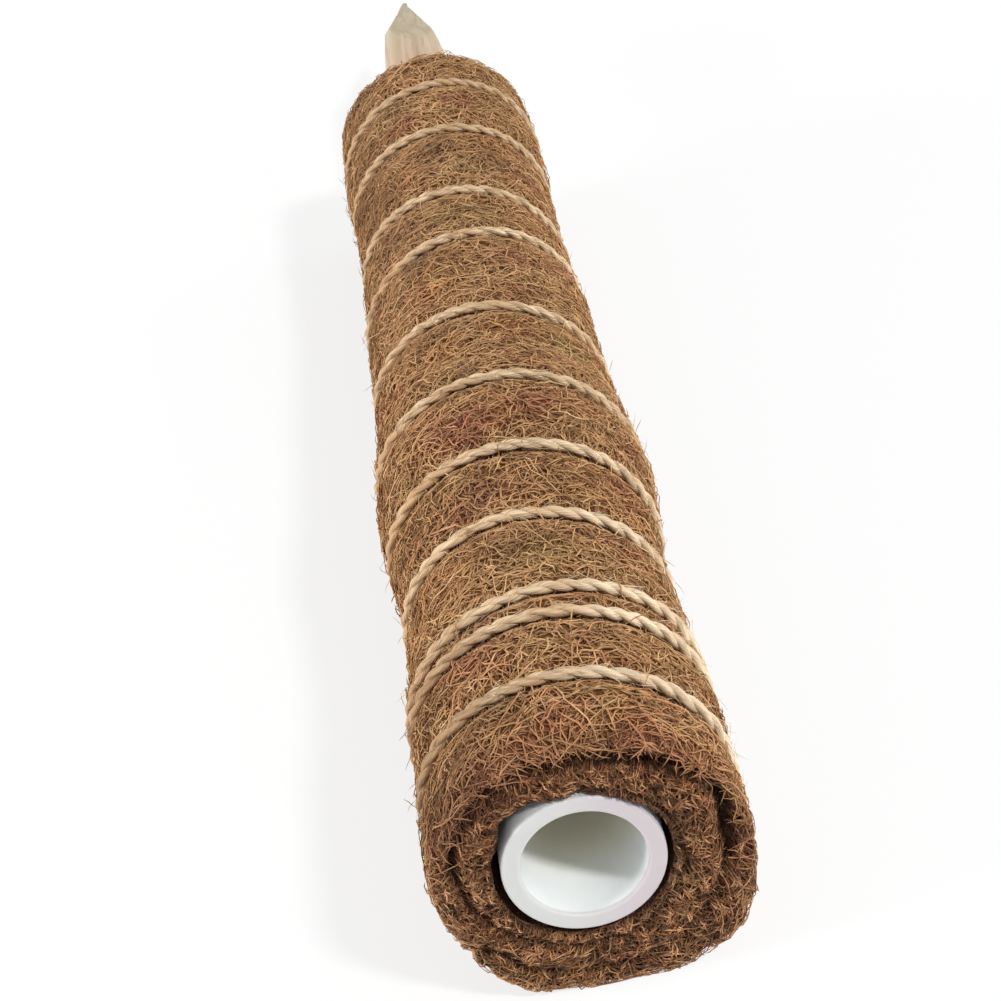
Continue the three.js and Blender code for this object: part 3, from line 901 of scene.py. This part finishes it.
def fibre_material(name, dark, middle, light, mottle=0.95, grain=0.42, worn_share=0.5):
    made, board, place = new_material(name)
    tone = board.attribute("tone")
    own = board.attribute("own") / 100
    sunk_shade = board.attribute("sunk_shade")
    shade = board.noise(place, grain / MM, 3.0)["Fac"]
    pale = board.noise(place.moved((0.4, 0.1, 0.7)), 0.035 / MM, 3.0)["Fac"]
    level = tone * 0.6 + 0.13 + (shade - 0.5) * mottle + (pale - 0.5) * 0.3
    color = board.mix(level.eased(0.0, 0.5), dark, middle)
    color = board.mix(level.eased(0.5, 1.0), color, light)
    color = coir_hues(board, place, color, tone, own)
    _, y, _ = place.parts()
    worn = y.eased(MAT_START + 4.5 * MM, MAT_START + 1 * MM) * worn_share
    color = board.mix(worn, color, board.mix(tone, rgb(76, 36, 24), rgb(166, 112, 80)))
    # Painted shade on fibres that lie low
    color = board.mix(sunk_shade * 0.8, color, rgb(50, 20, 17))
    surface(board, {
        "Base Color": color, "Roughness": 0.78, "Specular IOR Level": 0.25,
        "Sheen Weight": 0.15, "Sheen Roughness": 0.5, "Sheen Tint": rgb(240, 214, 176),
        "Normal": bump(board, board.noise(place, 3.0 / MM, 2.0)["Fac"], 0.35, 0.1 * MM),
    })
    return made


def felt_material():
    made, board, place = new_material("coir_felt")
    lift = board.attribute("lift")
    face = (board.attribute("mouth") / MM).held(0, 1)
    fine = board.noise(place, 1.1 / MM, 4.0, 0.65)["Fac"]
    strands = board.noise(place.scaled((1.0, 3.0, 1.0)), 0.9 / MM, 3.0)["Fac"]
    # The felt is darker than the fibres over it: painted shade in the pits between them
    color = board.mix(fine.eased(0.35, 0.7), rgb(76, 45, 27), rgb(146, 102, 65))
    color = coir_hues(board, place, color, fine.eased(0.3, 0.9) * 0.5)
    # Painted shade: the felt of the end faces darker than the outside of the roll
    color = board.mix(face * 0.5, color, rgb(64, 36, 24))
    # Painted shade where lift is low: in the seams, along the gap by the tube, on the gap's walls
    # and beside the twine
    color = board.mix(lift.eased(0.45, 0.0) * 0.8, color, rgb(34, 16, 12))
    surface(board, {
        "Base Color": color, "Roughness": 0.95, "Specular IOR Level": 0.1,
        "Normal": bump(board, fine + strands, 0.9, 0.5 * MM),
    })
    return made


def jute_material():
    made, board, place = new_material("jute")
    along = board.attribute("along")
    around = board.attribute("around")
    twist = around + along / (11 * MM)
    strands = board.noise(board.xyz(twist * 14, along / (7 * MM), 0.3), 1.0, 3.0, 0.6)["Fac"]
    blotch = board.noise(place, 0.08 / MM, 3.0)["Fac"]
    color = board.mix(strands.eased(0.3, 0.7), rgb(168, 138, 104), rgb(230, 206, 172))
    x, y, _ = place.parts()
    # Darker jute in blotches, and the twine darker towards -X
    blotched_and_darker_left = (blotch.eased(0.45, 0.65) * 0.6 + x.eased(-8 * MM, -24 * MM) * 0.4).held(0, 0.8)
    color = board.mix(blotched_and_darker_left, color, rgb(184, 145, 106))
    # Paler twine towards +X at the near end
    paler_near_right = x.eased(0, 12 * MM) * y.eased(-110 * MM, -180 * MM) * 0.35
    color = board.mix(paler_near_right, color, rgb(246, 232, 204))
    color = board.mix(y.eased(-60 * MM, 90 * MM) * 0.4, color, rgb(158, 122, 86))
    # Painted shade on the twine at the left of the near end
    near_left_shade = x.eased(-6 * MM, -16 * MM) * y.eased(-170 * MM, -200 * MM) * 0.6
    color = board.mix(near_left_shade, color, rgb(138, 102, 70))
    surface(board, {
        "Base Color": color, "Roughness": 0.85, "Specular IOR Level": 0.2,
        "Normal": bump(board, strands, 0.8, 0.25 * MM),
    })
    return made


def plastic_material():
    made, board, place = new_material("tube_plastic")
    drawn = board.noise(place.scaled((1, 0.04, 1)), 0.9 / MM, 3.0)["Fac"]
    cloud = board.noise(place, 0.07 / MM, 3.0)["Fac"]
    color = board.mix(cloud.eased(0.35, 0.7), rgb(232, 235, 235), rgb(238, 242, 241))
    x, y, _ = place.parts()
    # Painted light: a warm tint of light bounced inside the bore, away from the tube's ends
    deep = y.eased(tube_low.y + 5 * MM, tube_low.y + 22 * MM)
    deep = deep * y.eased(tube_high.y - 8 * MM, tube_high.y - 25 * MM)
    color = board.mix(deep, color, rgb(228, 224, 206))
    # The sawn rim greyer than the rest of the tube, lilac towards +X
    sawn = y.eased(tube_low.y + 1.1 * MM, tube_low.y + 0.3 * MM)
    sawn_rim_tint = board.mix(x.eased(-8 * MM, 8 * MM), rgb(199, 200, 198), rgb(194, 185, 189))
    color = board.mix(sawn, color, sawn_rim_tint)
    surface(board, {
        "Base Color": color, "Roughness": drawn * 0.12 + 0.38, "IOR": 1.46,
        "Subsurface Weight": 0.12, "Subsurface Radius": (1.0, 0.9, 0.8),
        "Subsurface Scale": 1.5 * MM,
        "Normal": bump(board, drawn, 0.15, 0.1 * MM),
    })
    return made


def wood_material():
    made, board, place = new_material("stake_wood")
    across = place.scaled((1, 0.05, 1)).moved((0.02, 0.0, 0.05))
    wide = board.noise(across, 0.16 / MM, 3.0)["Fac"]
    rings = (wide * 26).math("SINE") * 0.5 + 0.5
    pores = board.noise(place.scaled((1, 0.03, 1)), 2.4 / MM, 3.0, 0.6)["Fac"]
    stain = board.noise(place, 0.06 / MM, 3.0)["Fac"]
    _, y, _ = place.parts()
    whittled = y.eased(stake_high.y - 92 * MM, stake_high.y - 45 * MM)
    pale = board.mix(whittled, rgb(194, 166, 144), rgb(188, 177, 153))
    dark = board.mix(whittled, rgb(172, 142, 118), rgb(170, 154, 126))
    color = board.mix(rings * 0.7, pale, dark)
    color = board.mix(pores.eased(0.5, 0.75) * 0.5, color, rgb(146, 116, 90))
    color = board.mix(stain.eased(0.5, 0.75) * 0.3, color, rgb(190, 182, 158))
    tip = y.eased(stake_high.y - 9 * MM, stake_high.y - 1 * MM) * 0.6
    color = board.mix(tip, color, rgb(150, 152, 138))
    surface(board, {
        "Base Color": color, "Roughness": 0.72, "Specular IOR Level": 0.3,
        "Normal": bump(board, pores + rings * 0.4, 0.5, 0.2 * MM),
    })
    return made


# Tube and stake


def rounded(corners, size):
    """A closed outline in the plane with its corners rounded."""
    outline = []
    corners = [Vector(corner) for corner in corners]
    for index, corner in enumerate(corners):
        before = corners[index - 1]
        after = corners[(index + 1) % len(corners)]
        start = corner + (before - corner).normalized() * size
        end = corner + (after - corner).normalized() * size
        for step in range(7):
            share = step / 6
            one, other = start.lerp(corner, share), corner.lerp(end, share)
            outline.append(one.lerp(other, share))
    return outline


def make_tube():
    """The plastic tube, sawn square, with its edges taken off."""
    corners = (
        (BORE_RADIUS, tube_low.y), (TUBE_RADIUS, tube_low.y),
        (TUBE_RADIUS, tube_high.y), (BORE_RADIUS, tube_high.y),
    )
    angle = np.arange(TUBE_SIDES) / TUBE_SIDES * TURN
    rows = []
    for radius, y in rounded(corners, TUBE_ROUNDING):
        rows.append(np.stack([
            AXIS_X + radius * np.sin(angle), np.full(TUBE_SIDES, y),
            AXIS_Z + radius * np.cos(angle),
        ], -1))
    return grid_mesh("plastic_tube", np.array(rows))


def cut_depths(y, angle, middle):
    """How far out the wood reaches from the stake's middle line, at each knife cut."""
    reach = []
    for index, (turns, length_share, tip_share) in enumerate(CUT_SHARES):
        length = POINT_LENGTH * length_share
        rise = (stake_high.y - y) / length
        face = STAKE_RADIUS * (tip_share + rise * (1 - tip_share))
        wave = np.sin(y / (6.5 * MM) + index * 2.1) + np.sin(y / (2.9 * MM) + index * 4.7) * 0.5
        face = face + wave * 0.09 * MM * np.clip(rise * 5, 0, 1)
        sideways = abs(math.sin(turns * TURN))
        face = face + TIP_BLUNTNESS * sideways * (1 - smooth((stake_high.y - y) / (7 * MM)))
        flat = (1 - sideways) * (1 - smooth((stake_high.y - y) / (12 * MM)))
        face = face - TIP_FLATNESS * flat
        facing = np.cos(angle - turns * TURN)
        offset = middle[0] * math.sin(turns * TURN) + middle[1] * math.cos(turns * TURN)
        reach.append(np.where(facing > 0.05, (face - offset) / np.maximum(facing, 0.05), 1.0))
    return reach


def make_stake():
    """The dowel and the long knife cuts of its point, their ridges a little worn."""
    shank_end = stake_high.y - POINT_LENGTH * 1.5
    y = np.concatenate([
        [stake_low.y, stake_low.y, stake_low.y + 1 * MM],
        np.linspace(stake_low.y + 4 * MM, shank_end, SHANK_ROWS),
        np.linspace(shank_end + 0.4 * MM, stake_high.y, POINT_ROWS),
    ])[:, None]
    angle = (np.arange(STAKE_SIDES) / STAKE_SIDES * TURN)[None, :]
    eased = smooth((y - stake_high.y) / (16 * MM) + 1)
    middle = (TIP_SHIFT[0] * eased, TIP_SHIFT[1] * eased)
    lean = middle[0] * np.sin(angle) + middle[1] * np.cos(angle)
    round_reach = -lean + np.sqrt(
        lean ** 2 - middle[0] ** 2 - middle[1] ** 2 + STAKE_RADIUS ** 2
    )
    reach = np.stack(np.broadcast_arrays(round_reach, *cut_depths(y, angle, middle)))
    least = reach.min(0)
    radius = least - RIDGE_WEAR * np.log(np.exp(-(reach - least) / RIDGE_WEAR).sum(0))
    radius[0] *= 0.02
    radius[1] -= 1 * MM
    points = np.stack(np.broadcast_arrays(
        AXIS_X + middle[0] + radius * np.sin(angle), y,
        AXIS_Z + middle[1] + radius * np.cos(angle),
    ), -1)
    rough = bumps(points[3:], 2.2 * MM, 11) * 0.05 * MM + bumps(points[3:], 9 * MM, 12) * 0.1 * MM
    out = np.stack([np.sin(angle), 0 * angle, np.cos(angle)], -1)
    inside = np.minimum(rough - 0.12 * MM, 0)[..., None]
    points[3:] += out * inside * smooth((stake_high.y - y[3:]) / (3 * MM))[..., None]
    return capped_mesh("whittled_stake", points)


def capped_mesh(name, rows):
    """A skin over rows of points, closed by a fan at each end."""
    count, sides = rows.shape[:2]
    one = np.arange(count - 1)[:, None] * sides + np.arange(sides)
    faces = np.stack([one, np.roll(one, -1, 1), np.roll(one, -1, 1) + sides, one + sides], -1)
    faces = faces.reshape(-1, 4).tolist()
    points = rows.reshape(-1, 3).tolist()
    for row, turned in ((rows[0], True), (rows[-1], False)):
        first = 0 if turned else (count - 1) * sides
        middle = len(points)
        points.append(row.mean(0).tolist())
        for side in range(sides):
            corner = (first + side, first + (side + 1) % sides)
            faces.append((middle, *(corner[::-1] if turned else corner)))
    return faced_mesh(name, points, faces)


# Lights, floor and camera


def seen_rays(board):
    """1 for the rays that show what is behind the object, and 0 for those that light it."""
    path = board.add("ShaderNodeLightPath")
    seen = path["Is Camera Ray"] + path["Is Glossy Ray"] + path["Is Transmission Ray"]
    return seen.held(0, 1)


def make_floor():
    mesh = bpy.data.meshes.new("floor")
    signs = ((-1, -1), (1, -1), (1, 1), (-1, 1))
    corners = [(x * FLOOR_REACH, y * FLOOR_REACH, 0) for x, y in signs]
    mesh.from_pydata(corners, [], [(0, 1, 2, 3)])
    floor = bpy.data.objects.new("floor", mesh)
    bpy.context.scene.collection.objects.link(floor)
    made, board, place = new_material("pale_floor")
    away = place.vector("LENGTH").eased(0.5, 1.4)
    glow = away * (1 - FLOOR_GLOW) + FLOOR_GLOW
    matte = board.add("ShaderNodeBsdfDiffuse", {}, {"Color": (0.9, 0.9, 0.9, 1)})["BSDF"]
    white = board.add("ShaderNodeEmission", {}, {"Color": (1, 1, 1, 1), "Strength": 1.0})
    both = board.add("ShaderNodeMixShader", {}, {
        0: seen_rays(board) * glow, 1: matte, 2: white["Emission"],
    })
    board.add("ShaderNodeOutputMaterial", {}, {"Surface": both["Shader"]})
    mesh.materials.append(made)


def make_world():
    world = bpy.data.worlds.new("studio")
    world.use_nodes = True
    world.node_tree.nodes.clear()
    board = Board(world.node_tree)
    strength = seen_rays(board) * (1 - WORLD_LIGHT) + WORLD_LIGHT
    back = board.add("ShaderNodeBackground", {}, {"Color": (1, 1, 1, 1), "Strength": strength})
    board.add("ShaderNodeOutputWorld", {}, {"Surface": back["Background"]})
    bpy.context.scene.world = world


def make_lamp(name, place, aim, size, power):
    data = bpy.data.lights.new(name, "AREA")
    data.shape = "DISK"
    data.size = size
    data.energy = power
    lamp = bpy.data.objects.new(name, data)
    turn = (aim - place).to_track_quat("-Z", "Y").to_matrix().to_4x4()
    lamp.matrix_world = Matrix.Translation(place) @ turn
    bpy.context.scene.collection.objects.link(lamp)


def make_camera():
    data = bpy.data.cameras.new("camera")
    data.lens = LENS
    data.sensor_width = SENSOR_WIDTH
    camera = bpy.data.objects.new("camera", data)
    right = CAMERA_RIGHT.normalized()
    back = right.cross(CAMERA_UP).normalized()
    up = back.cross(right)
    turn = Matrix((right, up, back)).transposed()
    camera.matrix_world = Matrix.Translation(CAMERA_PLACE) @ turn.to_4x4()
    data.clip_start, data.clip_end = 0.01, 20
    bpy.context.scene.collection.objects.link(camera)
    bpy.context.scene.camera = camera


make_camera()
make_world()
make_floor()
for lamp in LAMPS:
    make_lamp(*lamp)
bpy.context.scene.view_settings.view_transform = "Standard"

show("plastic_tube", make_tube(), plastic_material(), "pole", "tube_plastic", "core_tube")
show("whittled_stake", make_stake(), wood_material(), "stake", "stake_wood", "wooden_stake")

felt = make_skin()
show("coir_felt", felt, felt_material(), "pole", "coir", "coir_mat")
twine_points, twine_sides = twine_path()
jute = jute_material()
plies = grown(
    "jute_twine_plies", twine_tree(jute), path_mesh("twine_path", twine_points, twine_sides),
    Points=2600, Ply_Radius=0.71 * MM, Ply_Offset=0.42 * MM, Twist_Length=9 * MM,
    Unevenness=0.5 * MM,
)
show("jute_twine_plies", plies, jute, "pole", "jute", "jute_twine")
hairs = grown(
    "jute_twine_hairs", hair_tree(jute), plies, Density=0.2 / MM ** 2, Seed=4, Steps=4,
    Least_Length=1.2 * MM, Most_Length=4.5 * MM, Thickness=0.13 * MM, Curl=1 * MM,
    Curl_Size=2.2 * MM, Lean=0.5,
)
show("jute_twine_hairs", hairs, jute, "pole", "jute", "jute_twine")

fibre = fibre_material("coir_fibre", rgb(116, 78, 48), rgb(185, 141, 96), rgb(224, 181, 131))
# A darker copy of the coir fibre for the end faces: its darkness is painted shade, and its strong
# mottling paints dark holes between the tufts
cut_fibre_shaded = fibre_material(
    "coir_cut_fibre", rgb(50, 24, 16), rgb(124, 80, 53), rgb(206, 156, 114), 3.0, 0.55, 0
)
stray_fibre = fibre_material(
    "coir_stray_fibre", rgb(146, 104, 66), rgb(202, 160, 112), rgb(228, 194, 148)
)
round_growth = round_tree(fibre)
end_growth = end_tree(cut_fibre_shaded)
for layer in range(SHORT_LAYERS):
    show_fibres(
        f"coir_fibres_short_{layer + 1}", round_growth, felt, fibre,
        Count=7000, Seed=10 + layer * 50, Steps=5, Least_Length=2.5 * MM, Most_Length=8 * MM,
        Thickness=0.27 * MM, Curl=1.7 * MM, Curl_Size=2.4 * MM, Height=(0.5 + 0.13 * layer) * MM,
        Dive=0.36 - 0.02 * layer, Arch=0.2 * MM, Rise=0.15 * MM, Overhang=0.6 * MM,
    )
show_fibres(
    "coir_fibres_long", round_growth, felt, fibre,
    Count=3600, Seed=410, Steps=8, Least_Length=7 * MM, Most_Length=15 * MM,
    Thickness=0.24 * MM, Curl=2.4 * MM, Curl_Size=4.5 * MM, Height=1.1 * MM,
    Dive=0.35, Arch=0.3 * MM, Rise=0.2 * MM, Overhang=1 * MM,
)
show_fibres(
    "coir_stray_fibres", round_growth, joined("felt_and_twine", felt, plies), stray_fibre,
    Count=800, Seed=700, Steps=9, Least_Length=7 * MM, Most_Length=20 * MM,
    Thickness=0.22 * MM, Curl=2 * MM, Curl_Size=7 * MM, Height=1.2 * MM,
    Dive=0.3, Arch=0.5 * MM, Rise=0.4 * MM, Overhang=1.3 * MM,
)
for far, (name, count) in enumerate(END_COUNTS):
    show_fibres(
        name, end_growth, felt, cut_fibre_shaded,
        Count=count, Seed=900, Steps=5, Least_Length=1 * MM, Most_Length=5 * MM,
        Thickness=0.26 * MM, Curl=1.3 * MM, Curl_Size=2 * MM, Height=1.1 * MM,
        Dive=0.32, Arch=0.3 * MM, Rise=0.9 * MM, Far_End=far == 1,
    )
